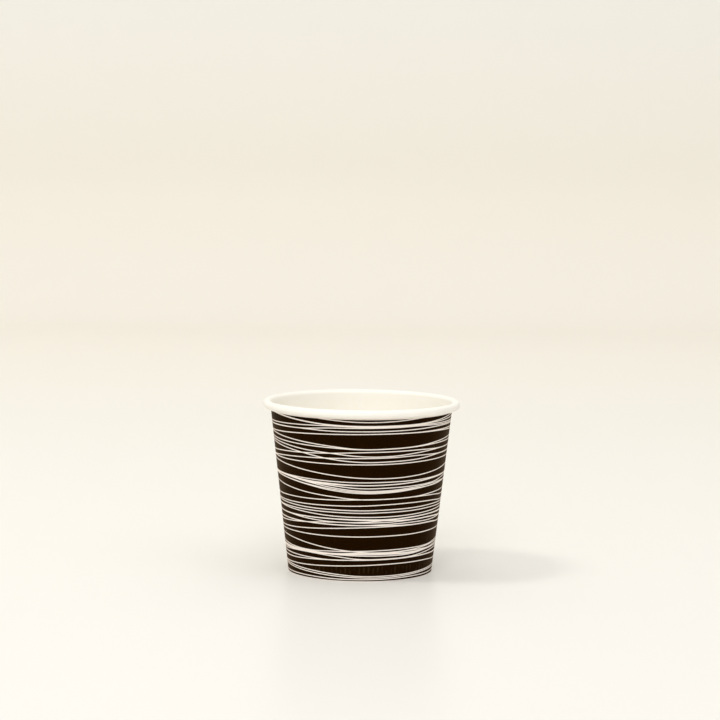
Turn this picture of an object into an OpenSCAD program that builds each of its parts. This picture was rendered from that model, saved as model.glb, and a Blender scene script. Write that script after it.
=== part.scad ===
// A small single-wall paper coffee cup, in millimetres.
// The origin is the centre of the foot, with +Z up the cup's axis and -Y towards the front. The side seam is at the
// back, towards -X.

/* [Cup] */
// Outside diameter of the rolled rim
rim_d = 62; // [56:0.5:72]
// Height from the foot to the top of the rim
cup_h = 54; // [42:0.5:80]
// Outside diameter of the wall at the foot
base_d = 45.2; // [38:0.2:50]

/* [Board] */
// Thickness of the side wall's board
wall_t = 0.3; // [0.2:0.01:0.4]
// Thickness of the bottom's board
floor_t = 0.25; // [0.18:0.01:0.35]
// Seal between layers that are pressed face to face
seal_gap = 0.02; // [0.01:0.01:0.04]

/* [Rolled rim] */
// Diameter of the roll's section
curl_d = 2.6; // [2.2:0.1:3.2]
// Gap between the roll's turns
curl_gap = 0.05; // [0.03:0.01:0.1]
// Where the inner turn ends, in degrees round its section from straight outwards
curl_end = 75; // [30:5:120]

/* [Side seam] */
// Where the middle of the overlap is round the cup, in degrees from +X
seam_at = 160; // [0:5:355]
// Width of the overlap at the foot
lap_w = 6; // [4:0.5:8]
// Width over which the outer layer steps down beside the overlap
lap_ramp = 3; // [2:0.5:4]

/* [Bottom] */
// Height of the cup's floor above the foot
floor_h = 5.8; // [5:0.1:8]
// Outside radius of the fold from the floor to its skirt
floor_fold_r = 0.6; // [0.4:0.05:0.9]
// Distance from the hem's raw edge up to that fold
hem_gap = 0.4; // [0.2:0.1:1]
// Outside radius of the folds at the foot
foot_r = 0.15; // [0.1:0.01:0.25]

/* [Crimping] */
// Number of marks that the crimping wheel leaves round the hem
crimp_count = 100; // [60:4:120]
// Width of one mark
crimp_w = 0.6; // [0.3:0.1:0.8]
// Depth of one mark
crimp_depth = 0.06; // [0.03:0.01:0.1]
// Distance from the marks' ends to the foot and to the hem's raw edge
crimp_margin = 0.9; // [0.5:0.1:1.5]

/* [Hidden] */
$fn = 180;
arc_step = 15;

ink = "#241709";
board = "#f6eee0";

// The roll is two arcs in the plane of radius and height, and the inner one starts at the outer one's lowest point.
curl_c = [rim_d / 2 - curl_d / 2, cup_h - curl_d / 2];
curl_inner_r = curl_d / 2 - wall_t;
tuck_outer_r = curl_inner_r - curl_gap;
tuck_c = [curl_c.x, cup_h - curl_d + tuck_outer_r];

// The wall's printed face runs from the foot and touches the roll's inner arc.
foot_to_curl = curl_c - [base_d / 2, 0];
taper = atan2(foot_to_curl.x, foot_to_curl.y) - asin(curl_inner_r / norm(foot_to_curl));

// Depths below the wall's printed face, of each layer that is sealed at the foot.
skirt_outer = wall_t + seal_gap;
skirt_inner = skirt_outer + floor_t;
hem_outer = skirt_inner + seal_gap;
hem_inner = hem_outer + wall_t;

skirt_bottom = wall_t + seal_gap;
// Where the fold at the foot runs out into the wall's printed face
fold_end = foot_r * (1 - sin(taper));
fold_z = floor_h - floor_fold_r;
hem_top = fold_z - hem_gap;
seam_top = tuck_c.y - tuck_outer_r / 2;
lap_angle = lap_w / (base_d / 2) * 180 / PI;
seam_start = seam_at - lap_angle / 2;
// How far the wall at the foot curves away from a flat face as wide as the ramp
ramp_sag = lap_ramp * lap_ramp / base_d;

// A point of the cup's section, at height z and at a depth below the wall's printed face
function at(depth, z) = [base_d / 2 + z * tan(taper) - depth / cos(taper), z];

// Points of an arc from angle a to angle b, at both ends and at each multiple of arc_step between them
function arc(centre, radius, a, b) =
    let (
        first = floor(min(a, b) / arc_step) + 1,
        last = ceil(max(a, b) / arc_step) - 1,
        between = [for (i = [first:last]) arc_step * (a < b ? i : first + last - i)]
    )
    [for (angle = concat(a, between, b)) centre + radius * [cos(angle), sin(angle)]];

// The cup's inside face comes round to the outside of the roll. The printed half of the wall is left out.
board_outline = concat(
    [at(hem_inner, hem_top)],
    arc(at(hem_inner - foot_r, foot_r), foot_r, 180 - taper, 270),
    arc(at(foot_r, foot_r), foot_r, 270, 360 - taper),
    [at(wall_t / 2, fold_end), curl_c + (curl_d / 2 - wall_t / 2) * [-cos(taper), sin(taper)]],
    arc(curl_c, curl_inner_r, 180 - taper, -90),
    arc(tuck_c, tuck_outer_r - wall_t, 270, curl_end),
    arc(tuck_c, tuck_outer_r, curl_end, 270),
    arc(curl_c, curl_d / 2, -90, 180 - taper),
    [at(wall_t, wall_t), at(hem_outer, wall_t), at(hem_outer, hem_top)]
);

printed_outline = [
    at(0, fold_end),
    curl_c + curl_inner_r * [-cos(taper), sin(taper)],
    curl_c + (curl_d / 2 - wall_t / 2) * [-cos(taper), sin(taper)],
    at(wall_t / 2, fold_end)
];

module above(z) {
    translate([-rim_d, -rim_d, z]) cube([2 * rim_d, 2 * rim_d, cup_h]);
}

// A straight bar up the wall at the edge of the overlap. Its section's x is height above the printed face,
// and its y runs along the wall towards the overlap.
module bar_at_seam(section, length) {
    rotate([0, 0, seam_start])
        translate([base_d / 2, 0, 0])
            rotate([0, taper, 0])
                linear_extrude(height = length / cos(taper)) polygon(section);
}

// The blank's outer edge, sealed over its inner edge, and the slope that carries it back to the wall
module seam_flap() {
    rotate([0, 0, seam_start])
        rotate_extrude(angle = lap_angle)
            polygon([at(-wall_t, foot_r), at(-wall_t, seam_top), at(wall_t / 2, seam_top), at(wall_t / 2, foot_r)]);
    intersection() {
        bar_at_seam([[wall_t - seal_gap, 0], [wall_t / 2, lap_ramp / 4], [-wall_t / 2, lap_ramp / 4],
            [-ramp_sag, -lap_ramp]], seam_top);
        above(foot_r);
    }
}

// The narrow hollow inside the cup, beside the inner edge that the slope bridges
module seam_channel() {
    intersection() {
        bar_at_seam([[0, 0], [-wall_t - ramp_sag, 0], [-wall_t - ramp_sag, -lap_ramp]], seam_top);
        above(floor_h + seal_gap);
    }
}

// Marks of the crimping wheel, on the hem's face inside the foot
module crimp_marks() {
    for (i = [0:crimp_count - 1])
        rotate([0, 0, 360 / crimp_count * i])
            translate([at(hem_inner, crimp_margin).x, 0, crimp_margin])
                rotate([0, taper, 0])
                    translate([-wall_t, -crimp_w / 2, 0])
                        cube([wall_t + crimp_depth, crimp_w, (hem_top - 2 * crimp_margin) / cos(taper)]);
}

// One blank of board: the tapered wall, the roll at its top and the hem folded in and up at its foot
module side_wall() {
    difference() {
        union() {
            color(board) rotate_extrude() polygon(board_outline);
            color(ink) rotate_extrude() polygon(printed_outline);
            color(ink) seam_flap();
        }
        color(board) seam_channel();
        color(board) crimp_marks();
    }
}

// A disc of board with its edge turned down, held between the wall and the hem
module bottom_disc() {
    fold_c = at(skirt_outer + floor_fold_r, fold_z);
    color(board) rotate_extrude() polygon(concat(
        [[0, floor_h]],
        arc(fold_c, floor_fold_r, 90, -taper),
        [at(skirt_outer, skirt_bottom), at(skirt_inner, skirt_bottom)],
        arc(fold_c, floor_fold_r - floor_t, -taper, 90),
        [[0, floor_h - floor_t]]
    ));
}

side_wall();
bottom_disc();
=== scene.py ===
import math

import bpy
from mathutils import Matrix


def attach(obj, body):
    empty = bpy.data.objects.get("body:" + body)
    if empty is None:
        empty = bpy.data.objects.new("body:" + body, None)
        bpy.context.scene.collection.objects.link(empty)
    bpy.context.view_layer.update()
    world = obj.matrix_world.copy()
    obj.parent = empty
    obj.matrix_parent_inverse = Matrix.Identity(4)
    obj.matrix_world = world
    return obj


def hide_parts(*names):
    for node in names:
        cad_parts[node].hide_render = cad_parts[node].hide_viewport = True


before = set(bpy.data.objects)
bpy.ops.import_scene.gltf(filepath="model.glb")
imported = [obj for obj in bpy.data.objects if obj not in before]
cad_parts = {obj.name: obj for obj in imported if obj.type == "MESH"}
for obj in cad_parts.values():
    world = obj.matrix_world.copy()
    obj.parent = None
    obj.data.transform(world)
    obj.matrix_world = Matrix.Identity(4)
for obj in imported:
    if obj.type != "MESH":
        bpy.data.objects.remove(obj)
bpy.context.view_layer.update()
bpy.ops.object.select_all(action="DESELECT")


# Camera. It stands 0.88 m in front of the cup and 0.1 m above its rim, with a long lens, and looks
# down a little into the cup. Its roll is the small tilt that the picture has.
mm = 0.001
stand = (-0.6216 * mm, -875.82 * mm, 153.353 * mm)
look_down = 0.09882
roll = 0.0102
film_width = 36
lens = 140.08

bpy.ops.object.camera_add()
camera = bpy.context.object
camera.name = "camera"
camera.data.sensor_width = film_width
camera.data.lens = lens
camera.data.clip_start = 0.02
camera.matrix_world = (
    Matrix.Translation(stand)
    @ Matrix.Rotation(math.pi / 2 - look_down, 4, "X")
    @ Matrix.Rotation(roll, 4, "Z")
)
bpy.context.scene.camera = camera


# Floor and backdrop. One sweep of pale matt card, flat under the cup and turned up behind it in a
# small bend. Its colour carries painted light and shade: neutral near the camera and turning a little
# warmer up the backdrop.
sweep_width = 5.0
sweep_front = -3.0
sweep_back = 0.86
sweep_bend = 0.1
bend_steps = 16
sweep_height = 2.2


def linear(code):
    """An sRGB hex colour as linear red, green, blue and alpha."""
    parts = [int(code[i : i + 2], 16) / 255 for i in (1, 3, 5)]
    return [c / 12.92 if c <= 0.04045 else ((c + 0.055) / 1.055) ** 2.4 for c in parts] + [1]


def add_node(tree, kind, inputs={}, **settings):
    """Adds one node with its settings. Each input is a value, or another node's output to link."""
    node = tree.nodes.new(kind)
    for name, value in settings.items():
        setattr(node, name, value)
    for socket, value in inputs.items():
        if isinstance(value, bpy.types.NodeSocket):
            tree.links.new(value, node.inputs[socket])
        else:
            node.inputs[socket].default_value = value
    return node


def start_material(name):
    """A new material, with its node tree, its shader, and the object coordinates for its patterns."""
    material = bpy.data.materials.new(name)
    material.use_nodes = True
    tree = material.node_tree
    place = add_node(tree, "ShaderNodeTexCoord").outputs["Object"]
    return material, tree, tree.nodes["Principled BSDF"], place


bpy.ops.mesh.primitive_plane_add(size=1)
sweep = bpy.context.object
sweep.name = "sweep_of_card"
bpy.ops.object.mode_set(mode="EDIT")
bpy.ops.transform.resize(value=(sweep_width, sweep_back - sweep_front, 1))
bpy.ops.transform.translate(value=(0, (sweep_back + sweep_front) / 2, 0))
bpy.ops.mesh.select_all(action="DESELECT")
bpy.ops.object.mode_set(mode="OBJECT")
for edge in sweep.data.edges:
    edge.select = all(sweep.data.vertices[i].co.y > 0 for i in edge.vertices)
bpy.ops.object.mode_set(mode="EDIT")
bpy.ops.mesh.select_mode(type="EDGE")
bpy.ops.mesh.spin(
    steps=bend_steps, angle=-math.pi / 2, center=(0, sweep_back, sweep_bend), axis=(1, 0, 0)
)
bpy.ops.mesh.extrude_region_move(
    TRANSFORM_OT_translate={"value": (0, 0, sweep_height - sweep_bend)}
)
bpy.ops.object.mode_set(mode="OBJECT")
bpy.ops.object.shade_smooth()

# Card, uncoated and with hardly any shine. Its tint is painted light and shade, and turns with the
# distance along the sweep, from a place in front of the cup to one up the backdrop.
tints_from = -0.4
tints_to = 1.2
first_tint = "#f1eeea"
tints_between = {0.3: "#f2efe9", 0.5: "#f2efe7", 0.7: "#f6f1e7", 0.8: "#f5f0e6", 0.89: "#f4efe4"}
last_tint = "#f2f1eb"

card, tree, surface, place = start_material("matt pale card")
axes = add_node(tree, "ShaderNodeSeparateXYZ", {0: place})
distance = add_node(tree, "ShaderNodeMath", {0: axes.outputs[1], 1: axes.outputs[2]}, operation="ADD")
tint_at = add_node(tree, "ShaderNodeMapRange", {0: distance.outputs[0], 1: tints_from, 2: tints_to})
ramp = add_node(tree, "ShaderNodeValToRGB", {0: tint_at.outputs[0]})
ramp.color_ramp.elements[0].color = linear(first_tint)
ramp.color_ramp.elements[1].color = linear(last_tint)
for position, code in tints_between.items():
    ramp.color_ramp.elements.new(position).color = linear(code)
tree.links.new(ramp.outputs["Color"], surface.inputs["Base Color"])
surface.inputs["Roughness"].default_value = 0.32
surface.inputs["Specular IOR Level"].default_value = 0.05
sweep.data.materials.append(card)


# Light. Broad soft boxes above and in front, a cooler one at the front right, a small warm lamp from
# the left that casts the soft shadow, and a pale room round them. Together they come to about one on
# the floor, so that a colour renders about as it is written.
room_colour = (1.0, 0.995, 0.98, 1)
room_strength = 0.42

# Each lamp's place and width in metres, its power in watts, and its colour
lamps = {
    "overhead_box": ((0.0, 0.1, 2.2), 2.0, 10.6, (1.0, 1.0, 1.0)),
    "front_box": ((-0.25, -2.6, 1.9), 1.8, 36.0, (1.0, 1.0, 1.0)),
    "key_lamp": ((-0.77, -0.2, 1.2), 0.26, 4.0, (1.0, 0.97, 0.9)),
    "fill_box": ((1.1, -1.0, 1.9), 1.6, 6.5, (0.97, 0.98, 1.0)),
}
for name, (spot, width, power, glow) in lamps.items():
    bpy.ops.object.light_add(type="AREA", location=spot)
    lamp = bpy.context.object
    lamp.name = name
    lamp.data.size = width
    lamp.data.energy = power
    lamp.data.color = glow
    lamp.rotation_euler = lamp.location.to_track_quat("Z", "Y").to_euler()

room = bpy.data.worlds.new("pale room")
room.use_nodes = True
room.node_tree.nodes["Background"].inputs["Color"].default_value = room_colour
room.node_tree.nodes["Background"].inputs["Strength"].default_value = room_strength
bpy.context.scene.world = room
bpy.context.scene.view_settings.view_transform = "Standard"


# Side wall. One blank of 0.3 mm paperboard, coated with polyethylene inside, and printed outside.
# It is wrapped until its ends overlap and seal at the back left, turned under at the foot to clamp the
# bottom disc, and rolled outwards at the top with the coated face outside.
# Sizes are in millimetres, and angles in degrees. The blank has columns of faces from end to end.
rim_radius = 31.0
cup_height = 54.0
foot_radius = 22.6
board = 0.3
seal = 0.01
curl_radius = 1.3
tuck_radius = 0.95
curl_end = 75
foot_fold = 0.15
hem_depth = 0.89
hem_top = 4.8
crimps = 100
crimp_depth = 0.06
crimp_depth_outside = 0.03
columns_per_crimp = 5
seam_at = 160
lap_columns = 21
ramp_columns = 11
press_columns = 9
smooth_below = 32

column_step = 360 / crimps / columns_per_crimp
columns = crimps * columns_per_crimp + lap_columns
flap_end = seam_at + lap_columns * column_step / 2

curl = (rim_radius - curl_radius, cup_height - curl_radius)
curl_inner = curl_radius - board
run, rise = curl[0] - foot_radius, curl[1]
taper = math.atan2(run, rise) - math.asin(curl_inner / math.hypot(run, rise))


def at(depth, height):
    """A point of the section, at a height and a depth below the wall's printed face, in mm."""
    return (foot_radius + height * math.tan(taper) - depth / math.cos(taper), height)


def arc(centre, radius, start, end, steps):
    """Points round a centre from one angle to another, in degrees."""
    angles = [math.radians(start + (end - start) * i / steps) for i in range(steps + 1)]
    return [(centre[0] + radius * math.cos(a), centre[1] + radius * math.sin(a)) for a in angles]


def draw_section(name, points):
    """Draws a board's section as a chain of edges in the plane of X and Z, from vertex to vertex."""
    bpy.ops.object.select_all(action="DESELECT")
    bpy.ops.mesh.primitive_plane_add(size=mm, location=(points[0][0] * mm, 0, points[0][1] * mm))
    piece = bpy.context.object
    piece.name = name
    bpy.ops.object.mode_set(mode="EDIT")
    bpy.ops.mesh.select_mode(type="VERT")
    bpy.ops.mesh.merge(type="CENTER")
    for here, there in zip(points, points[1:]):
        step = ((there[0] - here[0]) * mm, 0, (there[1] - here[1]) * mm)
        bpy.ops.mesh.extrude_region_move(TRANSFORM_OT_translate={"value": step})
    bpy.ops.object.mode_set(mode="OBJECT")
    bpy.ops.object.transform_apply(location=True)
    return piece


slope = math.degrees(taper)
hem = [at(hem_depth, z) for z in (hem_top, 4.3, 3.9, 3.6, 2.8, 2.0, 1.2, 0.9, 0.6, 0.35)]
inner_fold = arc(at(hem_depth - foot_fold, foot_fold), foot_fold, 180 - slope, 270, 4)
outer_fold = arc(at(foot_fold, foot_fold), foot_fold, 270, 360 - slope, 4)
heights = (0.35, 0.7, 1.2, 1.8, 2.2, 2.5, 3.3, 4.2, 4.5, 5.2)
heights += (8, 12, 17, 22, 27, 32, 37, 42, 46, 49, 51, 52)
wall = [at(0, z) for z in heights]
roll_over = arc(curl, curl_inner, 180 - slope, -90, 18)
tuck_centre = (curl[0], cup_height - 2 * curl_radius + tuck_radius)
tucked = arc(tuck_centre, tuck_radius - board, 270, curl_end, 8)
section = hem + inner_fold + outer_fold + wall + roll_over + tucked[1:]

# How far along the board each point is, as the height that it has on the wall
lengths = [math.dist(a, b) * math.cos(taper) for a, b in zip(section, section[1:])]
along = [sum(lengths[:i]) for i in range(len(section))]
wall_start = len(hem) + len(inner_fold) + len(outer_fold)
along = [a - along[wall_start] + heights[0] for a in along]

side_wall = draw_section("side_wall_board", section)
mesh = side_wall.data
print_height = mesh.attributes.new("print_height", "FLOAT", "POINT")
for vertex in mesh.vertices:
    gaps = [math.dist((x * mm, z * mm), (vertex.co.x, vertex.co.z)) for x, z in section]
    print_height.data[vertex.index].value = along[gaps.index(min(gaps))]
bpy.ops.object.mode_set(mode="EDIT")
bpy.ops.mesh.select_all(action="SELECT")
bpy.ops.mesh.spin(
    steps=columns, angle=math.radians(columns * column_step), center=(0, 0, 0), axis=(0, 0, 1)
)
bpy.ops.object.mode_set(mode="OBJECT")
side_wall.rotation_euler.z = math.radians(flap_end)
bpy.ops.object.transform_apply(rotation=True)

# The print's own map: across it runs round the blank, and up it runs with the height on the wall
map_low = 6.0
map_span = 66.0
point_count = len(section)
turned = [v.index // point_count for v in mesh.vertices]
height_at = [item.value for item in mesh.attributes["print_height"].data]
print_map = mesh.uv_layers.new(name="print")
for loop in mesh.loops:
    i = loop.vertex_index
    print_map.data[loop.index].uv = (1 - turned[i] / columns, (height_at[i] + map_low) / map_span)


def ease(value, start, end):
    """Goes smoothly from 0 at start to 1 at end."""
    t = min(1, max(0, (value - start) / (end - start)))
    return t * t * (3 - 2 * t)


# The tight fold at the foot, by height on the print's map: its middle, and how far its pull reaches
fold_middle = -0.5
fold_near, fold_far = 0.3, 2.0


def clear_of_fold(height):
    """How far a place on the board is from the fold at the foot, from 0 in it to 1."""
    if height < fold_middle:
        height = 2 * fold_middle - height
    return ease(height, fold_near, fold_far)


def push(piece, name, depth, weight, direction="NORMAL"):
    """Moves the board along its normal, or up, by a depth in mm, at each vertex by its weight."""
    group = piece.vertex_groups.new(name=name)
    for index in range(len(piece.data.vertices)):
        share = weight(index)
        if share:
            group.add([index], share, "REPLACE")
    modifier = piece.modifiers.new(name, "DISPLACE")
    modifier.vertex_group = name
    modifier.direction = direction
    modifier.mid_level = 0
    modifier.strength = depth * mm
    bpy.ops.object.modifier_apply(modifier=name)


# How the overlap is pressed: the share of its step lost in the roll, between two heights, the share
# left in the fold at the foot, and the height under which the inner end is pressed up
flat_in_roll = 0.4
roll_start, roll_end = 50.5, 55
left_in_fold = 0.03
near_foot = 3

# The marks of the crimping wheel, on the hem and where they show faintly outside, by height
crimped_hem = (-4.6, -2)
crimped_wall = (2.3, 4.4)


def over(index):
    """The outer end of the blank, which lies over the inner end and slopes down beside it. The rolled
    rim and the fold at the foot press it flatter."""
    height = height_at[index]
    side = 1 - ease(turned[index], lap_columns, lap_columns + ramp_columns)
    rolled = 1 - flat_in_roll * ease(height, roll_start, roll_end)
    return side * rolled * (left_in_fold + (1 - left_in_fold) * clear_of_fold(height))


def under(index):
    """The inner end, whose fold at the foot is pressed up inside the outer one's."""
    side = ease(turned[index], columns - lap_columns - press_columns, columns - lap_columns)
    return side * (1 - clear_of_fold(height_at[index])) if height_at[index] < near_foot else 0


def crimped(index, low, high):
    """The columns that the crimping wheel presses in, between two heights on the board."""
    return float(turned[index] % columns_per_crimp in (2, 3) and low < height_at[index] < high)


def thicken(piece, thickness, group=""):
    """Gives a sheet its board's thickness. The second material is inside and the third on cut edges."""
    solid = piece.modifiers.new("board", "SOLIDIFY")
    solid.thickness = thickness * mm
    solid.offset = -1
    solid.use_even_offset = True
    solid.vertex_group = group
    solid.material_offset = 1
    solid.material_offset_rim = 2
    for _ in range(3):
        piece.data.materials.append(None)
    bpy.ops.object.modifier_apply(modifier="board")
    bpy.ops.object.shade_smooth_by_angle(angle=math.radians(smooth_below))


push(side_wall, "over", board + seal, over)
push(side_wall, "under", board + seal, under, "Z")
push(side_wall, "crimps", -crimp_depth, lambda index: crimped(index, *crimped_hem))
push(side_wall, "crimps_outside", -crimp_depth_outside, lambda index: crimped(index, *crimped_wall))

# The board is squeezed thin in the tight fold at the foot.
squeezed = 0.4
fold_from, fold_to = -1.15, 0.2
thickness = side_wall.vertex_groups.new(name="thickness")
for index, height in enumerate(height_at):
    thickness.add([index], squeezed if fold_from < height < fold_to else 1, "REPLACE")
thicken(side_wall, board, "thickness")

# Strands of the print, from the top down: the height of each in mm, every 20 degrees round the front
# from 80 on the left to 80 on the right. Behind, each goes on in slow waves to the side seam.
strands = [
    (53.0, 52.4, 51.6, 50.75, 50.2, 50.35, 51.0, 51.6, 52.0),
    (51.4, 50.75, 49.9, 49.2, 48.98, 49.02, 49.2, 49.85, 50.7),
    (51.3, 50.62, 49.78, 49.1, 48.9, 48.94, 49.1, 49.4, 49.75),
    (48.05, 48.28, 48.6, 48.86, 48.68, 48.74, 48.88, 48.75, 48.7),
    (47.25, 47.36, 47.54, 48.2, 48.36, 48.45, 48.58, 48.3, 48.2),
    (47.2, 47.3, 47.45, 47.25, 47.3, 47.4, 47.6, 47.85, 47.8),
    (45.2, 45.5, 45.92, 46.25, 46.45, 46.55, 46.55, 46.6, 46.5),
    (45.2, 45.5, 45.92, 46.25, 46.45, 46.55, 46.5, 46.35, 45.9),
    (44.65, 44.04, 43.28, 42.5, 41.75, 41.88, 42.25, 43.03, 43.6),
    (43.1, 42.72, 42.37, 42.05, 41.7, 41.83, 42.15, 42.47, 42.6),
    (42.3, 41.75, 40.92, 40.3, 39.53, 39.5, 40.15, 40.7, 40.85),
    (41.6, 40.78, 39.74, 38.46, 37.74, 37.83, 38.18, 38.94, 39.15),
    (39.05, 39.5, 39.87, 40.33, 40.78, 40.94, 41.03, 40.8, 40.85),
    (37.5, 38.04, 38.46, 38.75, 38.94, 39.08, 39.3, 39.1, 39.2),
    (37.2, 37.03, 37.0, 36.97, 36.97, 37.07, 37.28, 37.46, 37.58),
    (36.06, 35.33, 34.39, 33.46, 32.75, 32.6, 33.0, 33.78, 34.7),
    (32.3, 32.05, 31.8, 31.52, 31.35, 31.44, 31.53, 31.8, 32.04),
    (32.1, 31.93, 31.25, 30.82, 30.47, 30.6, 31.0, 31.62, 32.0),
    (32.0, 31.88, 31.05, 30.6, 30.42, 30.56, 30.95, 31.55, 31.9),
    (31.9, 31.84, 30.92, 30.22, 29.5, 29.6, 29.8, 30.24, 31.25),
    (31.95, 31.72, 30.8, 29.57, 28.7, 28.76, 29.33, 29.86, 30.03),
    (31.6, 31.0, 29.95, 28.7, 27.98, 28.12, 28.75, 29.4, 30.0),
    (31.65, 31.08, 30.08, 29.1, 28.34, 28.44, 28.95, 29.3, 29.9),
    (29.2, 28.39, 27.45, 26.7, 26.0, 26.1, 26.28, 26.8, 27.1),
    (25.42, 25.5, 25.53, 25.67, 25.98, 26.08, 26.25, 26.04, 25.5),
    (23.75, 23.72, 23.75, 23.86, 24.0, 24.33, 24.47, 24.28, 23.72),
    (23.2, 22.94, 22.7, 22.6, 22.53, 22.7, 22.85, 23.08, 23.08),
    (22.0, 22.0, 21.87, 21.8, 21.74, 21.87, 22.0, 22.2, 22.15),
    (21.9, 21.5, 21.04, 20.6, 20.46, 20.5, 20.74, 21.08, 21.3),
    (19.97, 19.82, 19.76, 19.76, 19.72, 19.66, 19.98, 20.2, 20.2),
    (19.9, 19.76, 19.7, 19.7, 19.5, 19.3, 19.14, 19.2, 18.8),
    (19.9, 19.7, 19.15, 18.76, 18.85, 19.42, 19.88, 20.1, 20.0),
    (17.06, 17.47, 18.03, 18.68, 18.68, 18.76, 19.02, 19.08, 18.7),
    (18.17, 18.1, 17.96, 17.86, 17.86, 18.1, 18.24, 18.24, 18.6),
    (18.17, 18.05, 17.96, 17.92, 17.88, 17.74, 17.5, 17.47, 17.0),
    (15.32, 15.6, 16.1, 16.68, 17.15, 17.4, 17.42, 17.36, 16.95),
    (14.3, 14.32, 14.25, 14.22, 14.25, 14.39, 14.5, 14.7, 14.87),
    (12.65, 12.1, 11.13, 10.12, 9.42, 9.02, 9.25, 9.2, 9.3),
    (10.0, 9.39, 9.15, 9.45, 9.68, 9.9, 10.05, 10.25, 11.1),
    (9.2, 9.0, 8.87, 8.74, 9.18, 9.18, 9.42, 9.95, 10.5),
    (8.95, 8.8, 8.62, 8.58, 8.88, 8.85, 8.78, 9.1, 9.9),
    (8.6, 8.55, 8.45, 8.5, 8.58, 8.58, 8.5, 9.0, 9.3),
    (7.9, 8.3, 8.42, 8.4, 8.2, 8.1, 8.2, 8.9, 9.2),
    (8.5, 8.5, 8.35, 7.85, 7.12, 7.12, 7.3, 8.0, 8.5),
    (7.08, 6.92, 6.75, 6.63, 6.95, 7.08, 7.2, 7.2, 7.1),
    (5.87, 5.92, 6.33, 6.68, 6.85, 6.98, 7.08, 7.12, 7.0),
    (3.92, 4.08, 4.37, 4.78, 5.13, 5.42, 5.47, 5.37, 4.97),
    (3.5, 3.08, 2.67, 2.17, 1.7, 1.7, 1.92, 2.33, 2.75),
    (2.9, 2.5, 2.03, 1.58, 1.25, 1.2, 1.5, 1.9, 2.2),
    (0.85, 0.87, 0.83, 0.67, 0.67, 0.75, 0.9, 0.92, 1.0),
    (0.05, 0.05, 0.05, 0.05, 0.05, 0.05, 0.05, 0.05, 0.05),
]
front_edge = 80
front_step = 20
strand_width = 0.29
print_top = 50.95
print_bottom = -3.4

# Offset print on clay-coated board: dark brown ink with a low brown sheen, and the bare board where
# the strands are. The ink is thinner over the board's fibres, and a strand's edge is a little rough.
# Above the foot, faint upright marks at the crimps are painted highlights, where the crimped ridges
# catch the light.
edge_grain = 0.25
edge_waver = 0.03
edge_softness = 0.03
fibre_size = 0.5
# The painted highlights of the crimped ridges: the heights between which they lie, their fade and their
# patch size, in mm
glint_bottom = 2.1
glint_top = 4.9
glint_fade = 0.6
glint_patch = 2.5

printed, tree, surface, place = start_material("printed paperboard")
print_place = add_node(tree, "ShaderNodeUVMap", uv_map="print")
uv = add_node(tree, "ShaderNodeSeparateXYZ", {0: print_place.outputs[0]})
rough_edge = add_node(
    tree, "ShaderNodeTexNoise", {"Vector": place, "Scale": 1 / (edge_grain * mm), "Detail": 1}
)
raised = add_node(
    tree,
    "ShaderNodeMath",
    {0: rough_edge.outputs[0], 1: edge_waver / map_span, 2: uv.outputs[1]},
    operation="MULTIPLY_ADD",
)

# One curve node for each strand gives its height round the blank, and the nearest strand counts. The
# waves behind take their size and start from the strand's number in the list.
nearest = None
blank_turn = columns * column_step
blank_start = flap_end + 90 - blank_turn
for number, front in enumerate(strands):
    left, right = front[0], front[-1]
    fall = left - front[1]
    swing = 0.4 + 1.3 * abs(math.sin(0.7 * number))
    home = left + 0.5 * fall + 0.2 * math.sin(3 * number)
    knots = [(blank_start, left + 0.7 * fall), (-front_edge - front_step, left + 0.5 * fall)]
    knots += [(front_step * i - front_edge, height) for i, height in enumerate(front)]
    for share in (0.15, 0.3, 0.45, 0.6, 0.75, 0.88, 1.0):
        wave = swing * math.sin(math.pi * share) * math.sin(7 * share + 0.55 * number)
        height = right + (home - right) * ease(share, 0, 1) + wave
        knots.append((front_edge + (blank_start + blank_turn - front_edge) * share, height))
    knots = [((a - blank_start) / blank_turn, (h + map_low) / map_span) for a, h in knots]
    line = add_node(tree, "ShaderNodeFloatCurve", {"Value": uv.outputs[0]})
    points = line.mapping.curves[0].points
    points[0].location = knots[0]
    points[1].location = knots[-1]
    for knot in knots[1:-1]:
        points.new(*knot)
    line.mapping.update()
    off = add_node(
        tree, "ShaderNodeMath", {0: line.outputs[0], 1: raised.outputs[0]}, operation="SUBTRACT"
    )
    off = add_node(tree, "ShaderNodeMath", {0: off.outputs[0]}, operation="ABSOLUTE")
    if nearest:
        off = add_node(
            tree, "ShaderNodeMath", {0: off.outputs[0], 1: nearest.outputs[0]}, operation="MINIMUM"
        )
    nearest = off
half = strand_width / 2 / map_span
edge = edge_softness / map_span
on_strand = add_node(
    tree, "ShaderNodeMapRange", {0: nearest.outputs[0], 1: half - edge, 2: half + edge, 3: 1, 4: 0}
)
top = (print_top + map_low) / map_span
bottom = (print_bottom + map_low) / map_span
above = add_node(tree, "ShaderNodeMapRange", {0: raised.outputs[0], 1: top - edge, 2: top + edge})
below = add_node(
    tree, "ShaderNodeMapRange", {0: raised.outputs[0], 1: bottom - edge, 2: bottom + edge, 3: 1, 4: 0}
)
bare = on_strand
for beyond in (above, below):
    bare = add_node(
        tree, "ShaderNodeMath", {0: bare.outputs[0], 1: beyond.outputs[0]}, operation="MAXIMUM"
    )
fibres = add_node(
    tree, "ShaderNodeTexNoise", {"Vector": place, "Scale": 1 / (fibre_size * mm), "Detail": 5}
)
ink = add_node(
    tree,
    "ShaderNodeMix",
    {0: fibres.outputs[0], 6: linear("#140900"), 7: linear("#241202")},
    data_type="RGBA",
)
paper = add_node(
    tree,
    "ShaderNodeMix",
    {0: fibres.outputs[0], 6: linear("#f9ebdf"), 7: linear("#fffaf2")},
    data_type="RGBA",
)
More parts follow.
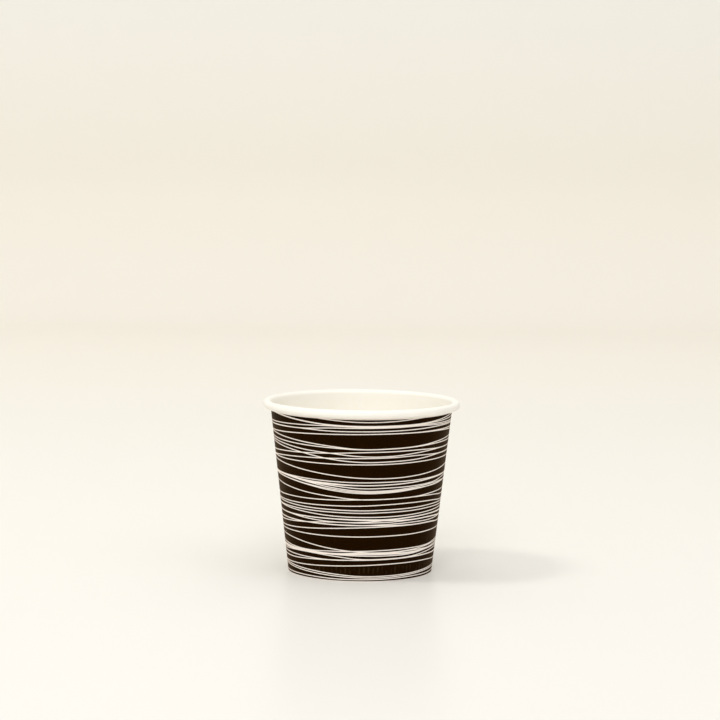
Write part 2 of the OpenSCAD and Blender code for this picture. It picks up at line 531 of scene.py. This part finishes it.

# Painted highlights where the crimped ridges catch the light: one for each crimp, fading out at both
# ends, and stronger in some patches
crimp_turn = add_node(
    tree, "ShaderNodeMath", {0: uv.outputs[0], 1: columns / columns_per_crimp}, operation="MULTIPLY"
)
crimp_turn = add_node(tree, "ShaderNodeMath", {0: crimp_turn.outputs[0], 1: 0.5}, operation="PINGPONG")
crimp_glints = add_node(tree, "ShaderNodeMapRange", {0: crimp_turn.outputs[0], 1: 0.2, 2: 0.5})
low = (glint_bottom + map_low) / map_span
high = (glint_top + map_low) / map_span
fade = glint_fade / map_span
patches = add_node(
    tree, "ShaderNodeTexNoise", {"Vector": place, "Scale": 1 / (glint_patch * mm), "Detail": 2}
)
for value, start, end, most in (
    (raised, low, low + fade, 1),
    (raised, high, high - fade, 1),
    (patches, 0.42, 0.6, 0.8),
):
    part = add_node(tree, "ShaderNodeMapRange", {0: value.outputs[0], 1: start, 2: end, 4: most})
    crimp_glints = add_node(
        tree, "ShaderNodeMath", {0: crimp_glints.outputs[0], 1: part.outputs[0]}, operation="MULTIPLY"
    )
# The painted highlight, a lighter brown, is mixed over the ink on the crimped ridges
ink = add_node(
    tree,
    "ShaderNodeMix",
    {0: crimp_glints.outputs[0], 6: ink.outputs[2], 7: linear("#372a1b")},
    data_type="RGBA",
)
colour = add_node(
    tree,
    "ShaderNodeMix",
    {0: bare.outputs[0], 6: ink.outputs[2], 7: paper.outputs[2]},
    data_type="RGBA",
)
tree.links.new(colour.outputs[2], surface.inputs["Base Color"])
sheen = add_node(tree, "ShaderNodeMapRange", {0: bare.outputs[0], 3: 0.42, 4: 0.6})
tree.links.new(sheen.outputs[0], surface.inputs["Roughness"])
surface.inputs["Specular IOR Level"].default_value = 0.006
surface.inputs["Sheen Weight"].default_value = 0.2
surface.inputs["Sheen Roughness"].default_value = 0.4
surface.inputs["Sheen Tint"].default_value = linear("#a37b42")
relief = add_node(
    tree, "ShaderNodeBump", {"Height": fibres.outputs[0], "Strength": 0.25, "Distance": 0.02 * mm}
)
tree.links.new(relief.outputs[0], surface.inputs["Normal"])

# Polyethylene-coated board: the film is smooth and satin over the board's faint unevenness.
coated, tree, surface, place = start_material("polyethylene-coated paperboard")
cloud = add_node(tree, "ShaderNodeTexNoise", {"Vector": place, "Scale": 1 / (1.6 * mm), "Detail": 3})
colour = add_node(
    tree,
    "ShaderNodeMix",
    {0: cloud.outputs[0], 6: linear("#fdf8ec"), 7: linear("#fffcf5")},
    data_type="RGBA",
)
tree.links.new(colour.outputs[2], surface.inputs["Base Color"])
surface.inputs["Roughness"].default_value = 0.36
surface.inputs["Specular IOR Level"].default_value = 0.2
ripple = add_node(tree, "ShaderNodeTexNoise", {"Vector": place, "Scale": 1 / (0.45 * mm), "Detail": 2})
relief = add_node(
    tree, "ShaderNodeBump", {"Height": ripple.outputs[0], "Strength": 0.15, "Distance": 0.02 * mm}
)
tree.links.new(relief.outputs[0], surface.inputs["Normal"])

# The board's cut edge: open fibre, rough and a little darker than its faces.
cut_edge, tree, surface, place = start_material("cut edge of paperboard")
layers = add_node(tree, "ShaderNodeTexNoise", {"Vector": place, "Scale": 1 / (0.12 * mm), "Detail": 4})
colour = add_node(
    tree,
    "ShaderNodeMix",
    {0: layers.outputs[0], 6: linear("#e2d3bb"), 7: linear("#f6ead6")},
    data_type="RGBA",
)
tree.links.new(colour.outputs[2], surface.inputs["Base Color"])
surface.inputs["Roughness"].default_value = 0.85
surface.inputs["Specular IOR Level"].default_value = 0.2
relief = add_node(
    tree, "ShaderNodeBump", {"Height": layers.outputs[0], "Strength": 0.5, "Distance": 0.03 * mm}
)
tree.links.new(relief.outputs[0], surface.inputs["Normal"])

for slot, material in enumerate((printed, coated, cut_edge)):
    mesh.materials[slot] = material
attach(side_wall, "root")
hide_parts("side_wall")


# Bottom disc. A round blank of 0.25 mm board, coated on top, drawn into a shallow tray. Its skirt is
# sealed inside the foot, between the wall and the hem, and the drawing leaves fine pleats at its fold.
disc_board = 0.25
floor_height = 5.8
tray_fold = 0.6
skirt_depth = 0.32
pleats = 90
pleat_depth = 0.025

flat = [(r, floor_height) for r in (0, 4, 8, 12, 16, 19, 20.6, 21.4)]
fold = arc(at(skirt_depth + tray_fold, floor_height - tray_fold), tray_fold, 90, -slope, 8)
skirt = [at(skirt_depth, z) for z in (4.8, 4.2, 3.2, 1.8, 0.34)]
tray = flat + fold + skirt
bottom_disc = draw_section("bottom_disc_board", tray)
bpy.ops.object.mode_set(mode="EDIT")
bpy.ops.mesh.select_all(action="SELECT")
bpy.ops.mesh.spin(steps=4 * pleats, angle=2 * math.pi, center=(0, 0, 0), axis=(0, 0, 1))
bpy.ops.mesh.select_all(action="SELECT")
bpy.ops.mesh.remove_doubles(threshold=0.01 * mm)
bpy.ops.mesh.normals_make_consistent(inside=False)
bpy.ops.object.mode_set(mode="OBJECT")
mesh = bottom_disc.data
if min(mesh.polygons, key=lambda face: face.center.xy.length).normal.z < 0:
    mesh.flip_normals()


def gathered(index):
    """A wave round the fold and the top of the skirt, four lines of vertices to a pleat."""
    point = mesh.vertices[index].co / mm
    turn = round((math.degrees(math.atan2(point.y, point.x)) % 360) * 4 * pleats / 360)
    near = point.xy.length > 21 and point.z > 3
    return 0.5 - 0.5 * math.cos(math.pi / 2 * turn) if near else 0


push(bottom_disc, "pleats", -pleat_depth, gathered)
thicken(bottom_disc, disc_board)

# Uncoated board under the disc: matt, with the cloudy look of pressed fibre.
uncoated, tree, surface, place = start_material("uncoated paperboard")
cloud = add_node(tree, "ShaderNodeTexNoise", {"Vector": place, "Scale": 1 / (1.1 * mm), "Detail": 6})
colour = add_node(
    tree,
    "ShaderNodeMix",
    {0: cloud.outputs[0], 6: linear("#ece0cc"), 7: linear("#f8efdf")},
    data_type="RGBA",
)
tree.links.new(colour.outputs[2], surface.inputs["Base Color"])
surface.inputs["Roughness"].default_value = 0.8
surface.inputs["Specular IOR Level"].default_value = 0.25
relief = add_node(
    tree, "ShaderNodeBump", {"Height": cloud.outputs[0], "Strength": 0.35, "Distance": 0.03 * mm}
)
tree.links.new(relief.outputs[0], surface.inputs["Normal"])

for slot, material in enumerate((coated, uncoated, cut_edge)):
    mesh.materials[slot] = material
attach(bottom_disc, "root")
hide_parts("bottom_disc")
